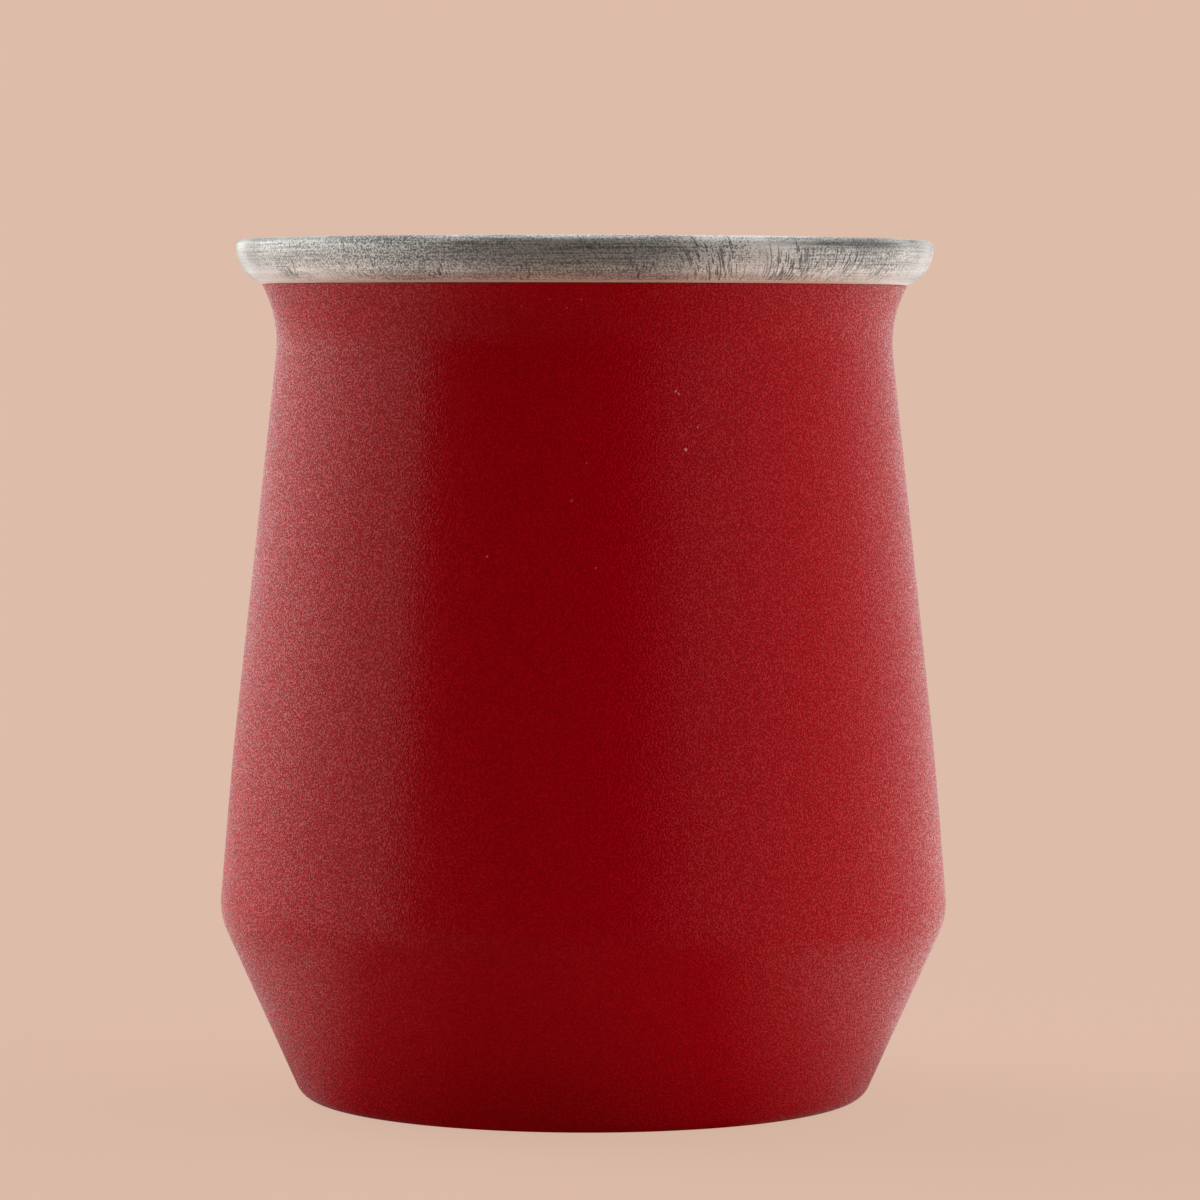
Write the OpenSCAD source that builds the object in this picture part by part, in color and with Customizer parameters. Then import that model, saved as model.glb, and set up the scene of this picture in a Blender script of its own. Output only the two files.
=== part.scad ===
// Insulated mate cup: a double-walled steel cup with a powder-coated body and a bare rolled rim.
// Every wall is thin sheet turned about the Z axis. The cup stands on Z = 0 and its mouth faces +Z.

/* [Body] */
// Overall height of the cup, from the table to the top of the rim
height = 95; // [80:0.5:110]
// Diameter of the base, at its corner before rounding
base_d = 62.4; // [54:0.2:70]
// Radius of the base corner
base_round = 2.4; // [1:0.1:3]
// Diameter of the belly, at its corner before rounding
belly_d = 80.8; // [78:0.2:92]
// Height of the belly corner above the table
belly_h = 20.4; // [16:0.1:25]
// Radius of the belly corner
belly_round = 7.5; // [3:0.5:14]
// Diameter of the upper wall where its lean changes
wall_d = 78; // [74:0.2:82]
// Height of that change above the table
wall_h = 37.5; // [32:0.5:45]
// Radius of the wall's gentle bulge there
wall_round = 400; // [200:10:450]
// Diameter of the neck, at its corner before rounding
neck_d = 67.4; // [62:0.1:72]
// Radius of the neck
neck_round = 14.4; // [8:0.1:16]
// Rise of the flare, from the neck corner to the top edge of the coat
flare_h = 3.7; // [3.2:0.1:4.4]
// Distance that the flare stands out past the neck corner
flare_out = 1.95; // [1.6:0.05:2.3]

/* [Rim] */
// Height of the bare rim above the top edge of the coat
rim_band = 5; // [4.2:0.1:5.8]
// Distance that the rim stands out past the top edge of the coat
rim_overhang = 2.85; // [2.5:0.05:3.4]
// Rise of the rim's underside from the coat's edge to the rim's corner
rim_rise = 1.55; // [1.1:0.05:2]
// Radius of the rim's lower corner
rim_under_round = 4; // [1:0.1:4.6]
// Radius of the rim's upper outer corner
rim_top_round = 0.8; // [0.6:0.05:1]
// Radius of the mouth's edge, inside the rim
mouth_round = 0.9; // [0.7:0.05:1.1]
// Gap round the shell's edge inside the rolled rim
lip_gap = 0.9; // [0.6:0.1:1.2]

/* [Sheet] */
// Thickness of the powder coat
coat_t = 0.12; // [0.08:0.02:0.2]
// Bare groove left between the coat and the rim
coat_gap = 0.15; // [0.1:0.05:0.3]
// Thickness of the outer shell
shell_t = 0.6; // [0.4:0.1:0.8]
// Thickness of the liner and of its bottom
liner_t = 0.5; // [0.4:0.05:0.55]
// Thickness of the vacuum bottom
bottom_t = 0.5; // [0.4:0.1:0.8]
// Thickness of the base cover
cover_t = 0.4; // [0.3:0.1:0.6]
// Thickness of the foil round the liner
foil_t = 0.1; // [0.05:0.05:0.2]

/* [Liner] */
// Gap between the shell and the liner, across from neck corner to neck corner
neck_gap = 1.5; // [1:0.1:3]
// Radius of the liner's neck
liner_neck_round = 14; // [8:0.5:16]
// Distance that the liner's wall draws in from its neck to its floor
liner_taper = 1.4; // [0:0.1:3]
// Gap between the vacuum bottom and the liner's bottom above it
floor_gap = 5.3; // [4:0.1:8]
// Radius between the liner's wall and its floor
floor_round = 8; // [4:0.5:10]
// Diameter of the raised middle of the liner's floor
floor_middle_d = 34; // [24:1:36]
// Height of that raised middle
floor_middle_h = 0.8; // [0.4:0.1:1.2]
// Radius at the edge of that raised middle
floor_middle_round = 6; // [2:0.5:8]
// Distance of the seam between the liner and its bottom above the floor's rounding
seam_rise = 2.5; // [1:0.5:6]
// Bare liner wall left between the seam and the foil
foil_seam_gap = 2; // [1:0.5:5]
// Distance of the foil's top edge below the liner's neck corner
foil_neck_gap = 6; // [5:0.5:10]

/* [Base] */
// Width of the shell's underside, from the base corner to the opening
foot_w = 4.7; // [4:0.1:6]
// Radius of the hem round that opening
hem_round = 1; // [0.8:0.1:1.2]
// Height of the shell's collar above the table
collar_h = 4.6; // [3.6:0.1:5.4]
// Height of the vacuum bottom's underside above the table
bottom_h = 4.2; // [3.6:0.1:5]
// Radius between the vacuum bottom and its skirt
bottom_round = 0.8; // [0.4:0.1:1]
// Depth of the base cover above the table
cover_recess = 1.2; // [0.8:0.1:1.4]
// Radius of the base cover's edge
cover_round = 0.8; // [0.6:0.1:1]
// Gap between the base cover's rim and the rounding above it
cover_gap = 0.2; // [0.1:0.1:0.4]
// Diameter of the raised middle of the base cover
cover_middle_d = 36; // [24:1:42]
// Height of that raised middle
cover_middle_h = 0.5; // [0.3:0.1:0.8]
// Width of the slope round that raised middle
cover_slope_w = 1.5; // [1:0.1:3]

/* [Vacuum parts] */
// Diameter of the dimple in the vacuum bottom, at its floor
dimple_d = 9; // [7:0.2:11]
// Depth of the dimple
dimple_depth = 1; // [0.8:0.1:1.4]
// Width of the slope round the dimple
dimple_slope_w = 1; // [0.6:0.1:1.5]
// Diameter of the pumping hole
pump_hole_d = 2; // [1.5:0.1:3]
// Bare floor left in the dimple round the glass seal
seal_margin = 0.7; // [0.4:0.1:1.5]
// Thickness of the glass seal
seal_t = 0.8; // [0.5:0.1:1.2]
// Diameter of the getter pill
getter_d = 8; // [6:0.5:9]
// Thickness of the getter pill
getter_t = 1.5; // [1:0.1:2]
// Distance of the getter pill from the cup's axis
getter_offset = 14; // [12:0.5:17]
// Width of the strap over the getter pill
strap_w = 5; // [3:0.5:6]
// Thickness of the strap
strap_t = 0.3; // [0.2:0.05:0.5]
// Length of each foot of the strap
strap_foot = 3; // [2:0.5:4]
// Clearance between the strap's legs and the getter pill
strap_gap = 0.2; // [0.1:0.1:0.5]

/* [Hidden] */
$fn = 96;
// Straight steps in each rounded corner
arc_steps = 8;
// Share of a side that its two roundings may fill
side_fill = 0.98;

// Corners are [radius, height, rounding]. A path of corners runs with the metal on its left.

// Place of a corner in the plane, without its rounding
function place(corner) = [corner[0], corner[1]];

// Unit vector along the side from one corner to the next
function along(a, b) = (place(b) - place(a)) / norm(place(b) - place(a));

// Unit normal on the left of that side
function left_of(a, b) = [-along(a, b)[1], along(a, b)[0]];

// Signed size of the plane's cross product, positive for a turn to the left
function cross_of(u, v) = u[0] * v[1] - u[1] * v[0];

// Point where the line from p along u meets the line from q along v
function crossing(p, u, q, v) = p + u * cross_of(q - p, v) / cross_of(u, v);

// A path moved to its left by a distance, with its roundings kept concentric
function shifted(path, distance) =
    let (last = len(path) - 1)
    [for (i = [0 : last])
        let (
            before = i > 0 ? left_of(path[i - 1], path[i]) : left_of(path[0], path[1]),
            after = i < last ? left_of(path[i], path[i + 1]) : before,
            step = (before + after) / (1 + before * after) * distance,
            inside = sign(cross_of(before, after)) * distance,
            rounding = path[i][2] > 0 ? max(0, path[i][2] - inside) : 0
        )
        [path[i][0] + step[0], path[i][1] + step[1], rounding]];

// Signed angle that a path turns through at one of its corners
function turn_at(path, i) =
    i == 0 || i == len(path) - 1 ? 0 :
    let (u = along(path[i - 1], path[i]), v = along(path[i], path[i + 1]))
    atan2(cross_of(u, v), u * v);

// Length of side that a corner's rounding asks for
function tangent_at(path, i) = path[i][2] * abs(tan(turn_at(path, i) / 2));

// Share of their asked length that the two roundings on side i get, so that they never meet
function side_share(path, i) =
    let (asked = tangent_at(path, i) + tangent_at(path, i + 1))
    let (room = norm(place(path[i + 1]) - place(path[i])) * side_fill)
    asked > room ? room / asked : 1;

// Points of the arc that rounds one corner
function arc_at(path, i) =
    let (
        turn = turn_at(path, i),
        cut = tangent_at(path, i) * min(side_share(path, i - 1), side_share(path, i)),
        radius = cut / abs(tan(turn / 2)),
        start = place(path[i]) - along(path[i - 1], path[i]) * cut,
        centre = start + left_of(path[i - 1], path[i]) * radius * sign(turn)
    )
    [for (k = [0 : arc_steps])
        let (angle = turn * k / arc_steps, arm = start - centre)
        centre + [arm[0] * cos(angle) - arm[1] * sin(angle), arm[0] * sin(angle) + arm[1] * cos(angle)]];

// A path as points, with every rounded corner drawn as an arc
function rounded(path) =
    [for (i = [0 : len(path) - 1])
        each tangent_at(path, i) == 0 ? [place(path[i])] : arc_at(path, i)];

// A list from its last item to its first, and a list without its first item
function backwards(list) = [for (i = [len(list) - 1 : -1 : 0]) list[i]];
function after_first(list) = [for (i = [1 : len(list) - 1]) list[i]];

// A sheet between two paths, turned about the axis
module turned_sheet(path, inner_path) {
    rotate_extrude() polygon(concat(rounded(path), backwards(rounded(inner_path))));
}

// Outside of the body: base, belly, wall, neck and the flare up to the ledge under the rim
coat_top = height - rim_band;
base_corner = [base_d / 2, 0, base_round];
belly_corner = [belly_d / 2, belly_h, belly_round];
wall_corner = [wall_d / 2, wall_h, wall_round];
neck_corner = [neck_d / 2, coat_top - flare_h, neck_round];
ledge = [neck_corner[0] + flare_out, coat_top, 0];
body_corners = [base_corner, belly_corner, wall_corner, neck_corner, ledge];

// The flare's line, carried on to a height
function flare_at(z) = [ledge[0] + (z - coat_top) * flare_out / flare_h, z, 0];
flare_way = along(neck_corner, ledge);
flare_left = left_of(neck_corner, ledge);

// The coat and the shell share the body's corners, so the coat lies on the shell face to face
hem_r = base_corner[0] - foot_w;
coat_path = concat([[hem_r + hem_round, 0, 0]], body_corners);

// The shell's edge ends inside the rolled rim, clear of the rim's outer wall and of its top
rim_r = ledge[0] + rim_overhang;
edge_by_wall = coat_top + (rim_r - liner_t - lip_gap - ledge[0]) * flare_h / flare_out;
edge_by_top = height - liner_t - lip_gap;
shell_face = concat([[hem_r, 0, 0]], body_corners, [flare_at(min(edge_by_wall, edge_by_top))]);
hem_path = [[hem_r, collar_h, 0], [hem_r, coat_t, hem_round]];
shell_path = concat(hem_path, after_first(shifted(shell_face, coat_t)));

// The liner lies on the inside of the flare, and its lip rolls over the shell's edge and back to the flare
shell_flare = place(ledge) + flare_left * coat_t;
liner_flare = place(ledge) + flare_left * (coat_t + shell_t + liner_t);
rim_corner = [rim_r, coat_top + rim_rise, rim_under_round];
rim_top_corner = [rim_r, height, rim_top_round];
under_way = along(flare_at(coat_top + coat_gap), rim_corner);
under_edge = crossing(place(rim_corner), under_way, shell_flare, flare_way);
mouth = crossing([0, height], [1, 0], liner_flare, flare_way);
liner_neck_r = neck_corner[0] - coat_t - shell_t - neck_gap - liner_t;
liner_neck = crossing([liner_neck_r, 0], [0, 1], liner_flare, flare_way);
bottom_top = bottom_h + bottom_t;
floor_h = bottom_top + floor_gap + liner_t;
floor_r = liner_neck_r - liner_taper;

// A point of the liner's straight wall, at a height
function liner_wall_at(z) = [floor_r + (z - floor_h) * liner_taper / (liner_neck[1] - floor_h), z, 0];

seam_h = floor_h + floor_round + seam_rise;
liner_path = [
    concat(under_edge, [0]),
    rim_corner,
    rim_top_corner,
    concat(mouth, [mouth_round]),
    concat(liner_neck, [liner_neck_round]),
    liner_wall_at(seam_h),
];
liner_back = shifted(liner_path, liner_t);
under_back_edge = crossing(place(liner_back[1]), under_way, shell_flare, flare_way);
liner_inner = concat([concat(under_back_edge, [0])], after_first(liner_back));
middle_h = floor_h + floor_middle_h;
floor_path = [
    liner_wall_at(seam_h),
    [floor_r, floor_h, floor_round],
    [floor_middle_d / 2, middle_h, floor_middle_round],
    [0, middle_h, 0],
];
foil_path = [liner_wall_at(liner_neck[1] - foil_neck_gap), liner_wall_at(seam_h + foil_seam_gap)];

// The vacuum bottom's skirt fits the shell's collar, and the base cover's rim fits that skirt
skirt_r = hem_r - bottom_t;
dimple_h = bottom_h + dimple_depth;
bottom_path = [
    [pump_hole_d / 2, dimple_h, 0],
    [dimple_d / 2, dimple_h, 0],
    [dimple_d / 2 + dimple_slope_w, bottom_h, 0],
    [skirt_r, bottom_h, bottom_round],
    [skirt_r, coat_t + hem_round, 0],
];
cover_rim_h = bottom_h - bottom_round - cover_gap;
cover_middle_r = cover_middle_d / 2;
cover_path = [
    [0, cover_recess + cover_middle_h, 0],
    [cover_middle_r, cover_recess + cover_middle_h, 0],
    [cover_middle_r + cover_slope_w, cover_recess, 0],
    [skirt_r, cover_recess, cover_round],
    [skirt_r, cover_rim_h, 0],
];
strap_span = getter_d + 2 * strap_gap;

// Red powder coat on the outside of the shell, down to the hem under the base
module powder_coat() {
    color("firebrick") turned_sheet(coat_path, shifted(coat_path, coat_t));
}

// Outer steel wall, from the collar in the base up to its edge inside the rim
module outer_shell() {
    color("silver") turned_sheet(shell_path, shifted(shell_path, shell_t));
}

// Inner steel wall, with the lip that rolls over into the bare rim
module inner_liner() {
    color("gainsboro") turned_sheet(liner_path, liner_inner);
}

// Stamped bottom of the inner wall, butted to the liner at the seam
module liner_bottom() {
    color("lightgray") turned_sheet(floor_path, shifted(floor_path, liner_t));
}

// Copper foil wrapped round the liner in the vacuum space
module copper_foil() {
    color("peru") turned_sheet(shifted(foil_path, liner_t), shifted(foil_path, liner_t + foil_t));
}

// Stamped bottom that closes the vacuum space, with a dimple round the pumping hole
module vacuum_bottom() {
    color("darkgray") turned_sheet(bottom_path, shifted(bottom_path, bottom_t));
}

// Glass that seals the pumping hole: a bead in the dimple and a plug in the hole
module glass_seal() {
    color("teal") union() {
        translate([0, 0, dimple_h - seal_t]) cylinder(h = seal_t, d = dimple_d - 2 * seal_margin);
        translate([0, 0, dimple_h]) cylinder(h = bottom_t, d = pump_hole_d);
    }
}

// Pill of getter metal that soaks up stray gas
module getter_pill() {
    color("dimgray") translate([getter_offset, 0, bottom_top]) cylinder(h = getter_t, d = getter_d);
}

// Strap over the getter pill, with a foot on the vacuum bottom at each end
module getter_strap() {
    color("lightsteelblue") translate([getter_offset - strap_w / 2, 0, bottom_top]) union() {
        translate([0, -strap_span / 2, getter_t]) cube([strap_w, strap_span, strap_t]);
        for (side = [0, 1]) mirror([0, side, 0]) translate([0, strap_span / 2, 0]) {
            cube([strap_w, strap_t, getter_t + strap_t]);
            cube([strap_w, strap_foot, strap_t]);
        }
    }
}

// Plain steel cover pressed into the base, set back from the table
module base_cover() {
    color("whitesmoke") turned_sheet(cover_path, shifted(cover_path, cover_t));
}

powder_coat();
outer_shell();
inner_liner();
liner_bottom();
copper_foil();
vacuum_bottom();
glass_seal();
getter_pill();
getter_strap();
base_cover();
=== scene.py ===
"""Looks of an insulated mate cup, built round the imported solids.

Fine turned meshes stand for seven of the nodes, and every material is procedural.
Sizes are in millimetres up to the meshes, which are in metres. The cup's axis is Z and it stands on Z = 0.
"""

import math

import bpy
import numpy as np
from mathutils import Euler, Matrix, Vector


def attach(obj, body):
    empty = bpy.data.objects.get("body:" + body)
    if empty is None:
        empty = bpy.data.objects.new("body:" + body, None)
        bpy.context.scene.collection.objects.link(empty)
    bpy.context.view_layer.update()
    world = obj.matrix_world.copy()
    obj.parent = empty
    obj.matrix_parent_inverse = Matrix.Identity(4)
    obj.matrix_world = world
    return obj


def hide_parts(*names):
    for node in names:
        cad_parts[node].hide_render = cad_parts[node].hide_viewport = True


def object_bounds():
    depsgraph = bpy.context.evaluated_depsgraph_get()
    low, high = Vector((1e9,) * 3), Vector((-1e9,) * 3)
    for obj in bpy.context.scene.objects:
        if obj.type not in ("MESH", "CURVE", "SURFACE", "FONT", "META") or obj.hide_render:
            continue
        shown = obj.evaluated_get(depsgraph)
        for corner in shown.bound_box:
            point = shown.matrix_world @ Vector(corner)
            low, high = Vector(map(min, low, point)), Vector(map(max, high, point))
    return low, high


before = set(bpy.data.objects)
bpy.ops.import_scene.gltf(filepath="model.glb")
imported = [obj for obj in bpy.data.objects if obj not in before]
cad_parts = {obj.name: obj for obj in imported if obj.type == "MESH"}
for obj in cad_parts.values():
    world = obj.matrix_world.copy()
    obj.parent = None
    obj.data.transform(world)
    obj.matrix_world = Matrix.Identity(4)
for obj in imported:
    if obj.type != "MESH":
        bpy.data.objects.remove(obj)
cad_low, cad_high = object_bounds()

MM = 0.001

# Body
HEIGHT = cad_high.z / MM
BASE_R = 31.2
BASE_ROUND = 2.4
BELLY_R = 40.4
BELLY_H = 20.4
BELLY_ROUND = 7.5
WALL_R = 39.0
WALL_H = 37.5
WALL_ROUND = 400.0
NECK_R = 33.7
NECK_ROUND = 14.4
FLARE_H = 3.7
FLARE_OUT = 1.95

# Rim
RIM_BAND = 5.0
RIM_OVERHANG = 2.85
RIM_RISE = 1.55
RIM_UNDER_ROUND = 4.0
RIM_TOP_ROUND = 0.8
MOUTH_ROUND = 0.9
LIP_GAP = 0.9

# Sheet
COAT_T = 0.12
COAT_GAP = 0.15
SHELL_T = 0.6
LINER_T = 0.5
BOTTOM_T = 0.5
COVER_T = 0.4
FOIL_T = 0.1

# Liner
NECK_GAP = 1.5
LINER_NECK_ROUND = 14.0
LINER_TAPER = 1.4
FLOOR_GAP = 5.3
FLOOR_ROUND = 8.0
FLOOR_MIDDLE_R = 17.0
FLOOR_MIDDLE_H = 0.8
FLOOR_MIDDLE_ROUND = 6.0
SEAM_RISE = 2.5
FOIL_SEAM_GAP = 2.0
FOIL_NECK_GAP = 6.0

# Base
FOOT_W = 4.7
HEM_ROUND = 1.0
COLLAR_H = 4.6
BOTTOM_H = 4.2
BOTTOM_ROUND = 0.8
COVER_RECESS = 1.2
COVER_ROUND = 0.8
COVER_GAP = 0.2
COVER_MIDDLE_R = 18.0
COVER_MIDDLE_H = 0.5
COVER_SLOPE_W = 1.5
DIMPLE_R = 4.5
DIMPLE_DEPTH = 1.0
DIMPLE_SLOPE_W = 1.0
PUMP_HOLE_R = 1.0

# Mesh
AROUND = 288
SEAM_ANGLE = math.pi / 2
ARC_STEP = math.radians(6)
LONGEST_STEP = 1.0
EDGE_ROUND = 0.05
EDGE_SHARE = 0.4
SIDE_FILL = 0.98
SHARP_ANGLE = math.radians(50)
BAKE_MAP = "OFBake"

# Camera, read from the photograph's outline
PHOTO_PIXELS = 1200
FOCAL_PIXELS = 5548
AXIS_OFFSET_PIXELS = 15.9
CAMERA_DISTANCE = 615.2
CAMERA_HEIGHT = 85.15
CAMERA_PITCH = 0.0487
CAMERA_ROLL = 0.0022
SENSOR_WIDTH = 36.0

# Colours, in linear light
WHITE = (1.0, 1.0, 1.0)
BACKGROUND = (0.7231, 0.5029, 0.3968)
COAT_RED = (0.42, 0.0006, 0.0065)
# Colour of dust specks, bright as a painted glint
SPECK_GLINT_COLOUR = (0.95, 0.34, 0.32)
STEEL = (0.56, 0.54, 0.51)
INSIDE_STEEL = (0.74, 0.72, 0.69)
RIM_STEEL = (0.61, 0.61, 0.595)
# Lighter steel of the rim's lower band, which faces down into shade: painted light
RIM_LOW_PAINTED_LIGHT = (0.7, 0.73, 0.72)
# Dark colour of the rim's strokes and pits, also used for painted shade
RIM_DIRT_AND_SHADE = (0.06, 0.052, 0.045)
# Pale colour of the rim's worn lower edge, a painted highlight
WORN_EDGE_HIGHLIGHT = (0.95, 0.88, 0.82)
COPPER_DARK = (0.62, 0.29, 0.16)
COPPER_LIGHT = (0.78, 0.4, 0.24)
GLASS_DARK = (0.02, 0.07, 0.065)
GLASS_LIGHT = (0.05, 0.13, 0.12)
GETTER_DARK = (0.06, 0.06, 0.065)
GETTER_LIGHT = (0.2, 0.2, 0.21)

# Noise: size in metres, detail and roughness. Brushing has its size in streaks
GRAIN = (0.00019, 0.0)
SWELL = (0.0016, 1.0)
WEAR = (0.011, 1.0)
SAND = (0.0002, 1.0)
PATCHES = (0.005, 2.0)
RIM_BRUSHING = (1.0, 2.0, 0.6)
STEEL_BRUSHING = (1.0, 3.0, 0.6)
STEEL_PATCHES = (0.006, 2.0)
CREASES = (0.004, 3.0, 0.6)
BUBBLES = (0.0004, 2.0)
POWDER = (0.0003, 3.0, 0.7)
NOISE_MEAN = 0.5
NOISE_RANGE = (0.3, 0.7)

# Brushed streaks: length round the cup and width, in metres
RIM_STREAK = (0.009, 0.00014)
STEEL_STREAK = (0.012, 0.00025)

# Coat: ranges go from the hollows to the crests of the grain
GRAIN_RANGE = (0.44, 0.68)
GRAIN_SHARE = 0.9
SWELL_SHARE = 0.1
GRAIN_DEPTH = 0.00014
GLOSS_DEPTH = 0.00003
GLOSS_RANGE = (0.3, 1.0)
MATT_RANGE = (0.7, 0.5)
# Red of the grain's hollows and crests: darker hollows are painted shade, lighter crests painted light
COAT_SHADED_TONES = (0.9, 1.26)
COAT_ROUGH = 0.16
COAT_IOR = 1.5
SPECK_CORE = 0.4

# Pale dust specks on the coat, whose pale colour is a painted glint: azimuth in degrees towards the
# camera's right, height in millimetres, radius in millimetres and strength
PALE_SPECKS_AND_GLINTS = [
    (16.1, 78.7, 0.17, 0.7), (16.6, 78.45, 0.14, 0.7), (19.9, 74.95, 0.16, 0.4), (17.6, 72.6, 0.22, 0.9),
    (0.4, 71.2, 0.11, 0.3), (-2.1, 67.3, 0.2, 0.2), (-16.2, 61.4, 0.14, 0.6), (1.9, 60.3, 0.12, 0.5),
    (-6.0, 88.3, 0.1, 0.3), (-3.1, 87.4, 0.11, 0.4), (-0.6, 88.3, 0.1, 0.35), (0.5, 87.6, 0.1, 0.25),
    (-11.0, 87.6, 0.1, 0.25),
]

# Worn places of the rim, and places of painted light and shade on it: middle and half width in degrees
SANDED = [(-33, 18), (22, 9)]
# Frosted places, with less metal and a lighter tone painted as the light they catch
FROSTED_AND_LIT = [(27, 15)]
LOW_FROSTED_AND_LIT = [(-68, 16), (-48, 20), (44, 24), (57, 18)]
CARVED = [(20, 12), (35, 9)]
SCRATCHED = [(22, 10), (34, 10), (47, 8), (56, 4)]
PITTED = [(-57, 10), (-38, 10), (-25, 6), (-10, 4), (9, 6), (38, 14), (60, 4)]
# Polished places at the rim's ends, also painted lighter as a highlight
POLISHED_AND_LIT = [(-76, 18), (76, 19)]
# Places of a dark line along the rim's top: a painted dark reflection
TOP_SHADE_ZONES = [(46, 26)]
# Places of painted shade on the rim: the upper right and the upper left
SHADED = [(54, 12)]
UPPER_LEFT_SHADE = [(-52, 36)]

# Strokes on the rim, in metres: spacing, half width, lowest and highest foot, shortest and longest length.
# The last number is a seed
DENSE_STROKES = (0.0003, 0.0001, -0.0004, 0.0036, 0.0008, 0.003, 29.0)
LONG_STROKES = (0.00036, 0.00009, -0.0006, 0.0036, 0.0006, 0.003, 11.0)
FULL_STROKES = (0.0008, 0.0001, -0.0006, 0.0022, 0.0014, 0.0045, 47.0)
SHORT_STROKES = (0.00036, 0.00012, 0.0001, 0.0018, 0.0004, 0.0014, 83.0)

# Where a stroke may lie in its cell: width of that room and its start, as shares of the spacing
STROKE_ROOM = (0.6, 0.2)
STROKE_CORE = 0.5
STROKE_ENDS = (0.0, 0.2, 0.5, 1.0)

# Heights over the coat's edge where bands of the rim begin and end, in metres
LOW_BAND = (0.0026, 0.0006)
HIGH_BAND = (0.0012, 0.0026)
EDGE_HIGHLIGHT_BAND = (0.00036, 0.00028)
TOP_BAND = (0.0038, 0.0042, 0.0044, 0.0048)
SHADED_BAND = (0.0026, 0.0046)
SEAM_SHADE_BAND = (0.0004, 0.0007, 0.001, 0.0014)

# Strokes fan out from this azimuth, in degrees, by a share for each metre up
STROKE_FAN = (42, 28.0)

# Wear of the rim, and the painted light and shade on it: how strongly each kind tells
WORN_RANGE = (0.45, 0.64)
WORN_SCRATCHES = 0.35
WORN_PITS = 0.5
TOP_SHADE_SHARE = 0.7
RIM_CONTRAST = 1.7
SANDED_CONTRAST = 1.5
SMOOTH_CONTRAST = -1.1
STREAK_CONTRAST = (1.4, 0.5)
PATCH_TONE = 0.4
SMOOTH_HIGHLIGHT_TONE = 0.12
FROSTED_PAINTED_LIGHT = 0.3
TONE_RANGE = (-0.25, 0.65)
RIM_DARK = 0.42
RIM_LIGHT = 1.6
RIM_LOW_LIGHT = 1.55
MARK_SHARE = 0.84
SEAM_SHADE_SHARE = 0.16
SHADED_SHARE = 0.36
UPPER_LEFT_SHADE_SHARE = 0.16
EDGE_WAVE = 0.0003

# Metal of the rim: heights and values between which it rises, then what wear adds, and its limits
METAL_RISE = (0.0003, 0.0034, 0.35, 0.76)
SMOOTH_METAL = 0.3
FROSTED_METAL = -0.3
METAL_LIMITS = (0.2, 0.9)
RIM_ROUGH = (0.46, 0.36)
ROUGH_SHARE = 0.5
RIM_ANISOTROPY = 0.7
RIM_GRAIN_RELIEF = 0.6
RIM_BRUSHED_RELIEF = 0.3
RIM_MARK_RELIEF = -0.5
RIM_DEPTH = 0.000015

# Sheet steel
BRUSHED_TONE = 0.6
PATCHED_TONE = 0.4
STEEL_TONES = (0.82, 1.08)
STEEL_ROUGH_SPAN = (-0.05, 0.06)
STEEL_DEPTH = 0.000012
STEEL_ANISOTROPY = 0.5
INSIDE_ROUGH = 0.34
DRAWN_ROUGH = 0.4
COVER_ROUGH = 0.3

# Foil, seal and getter
COPPER_ROUGH = (0.2, 0.36)
CREASE_DEPTH = 0.0002
BUBBLE_RANGE = (0.35, 0.65)
BUBBLE_DEPTH = 0.00002
GLASS_ROUGH = (0.08, 0.2)
GLASS_COAT = 0.4
GETTER_METAL = 0.7
GETTER_ROUGH = (0.55, 0.8)
POWDER_DEPTH = 0.00005

TINY = 1e-6


# Paths: corners are [radius, height, rounding], and the metal lies on the path's left


def place(corner):
    return np.array(corner[:2], float)


def along(a, b):
    """Unit vector from one corner to the next."""
    way = place(b) - place(a)
    return way / np.hypot(*way)


def left_of(a, b):
    """Unit normal on the left of the side from one corner to the next."""
    way = along(a, b)
    return np.array((-way[1], way[0]))


def cross(u, v):
    return u[0] * v[1] - u[1] * v[0]


def crossing(p, u, q, v):
    """Point where the line from p along u meets the line from q along v."""
    p, u, q, v = (np.array(item, float) for item in (p, u, q, v))
    return p + u * cross(q - p, v) / cross(u, v)


def shifted(path, distance):
    """The path moved to its left, with its roundings kept concentric."""
    moved = []
    last = len(path) - 1
    for i, corner in enumerate(path):
        before = left_of(path[i - 1], corner) if i > 0 else left_of(path[0], path[1])
        after = left_of(corner, path[i + 1]) if i < last else before
        step = (before + after) / (1 + before @ after) * distance
        inside = math.copysign(distance, cross(before, after)) if i not in (0, last) else 0
        rounding = max(0, corner[2] - inside) if corner[2] > 0 else 0
        moved.append((corner[0] + step[0], corner[1] + step[1], rounding))
    return moved


def turn_at(a, b, c):
    """Signed angle that a path turns through at corner b."""
    u, v = along(a, b), along(b, c)
    return math.atan2(cross(u, v), u @ v)


def arc(a, b, c, cut):
    """Points of the arc that rounds corner b and takes the length cut from each side."""
    turn = turn_at(a, b, c)
    radius = cut / abs(math.tan(turn / 2))
    start = place(b) - along(a, b) * cut
    centre = start + left_of(a, b) * radius * math.copysign(1, turn)
    steps = max(2, math.ceil(abs(turn) / ARC_STEP), math.ceil(abs(turn) * radius / LONGEST_STEP))
    points = []
    for k in range(steps + 1):
        angle = turn * k / steps
        turned_arm = Matrix.Rotation(angle, 2) @ Vector(start - centre)
        points.append(centre + np.array(turned_arm))
    return points


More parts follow.
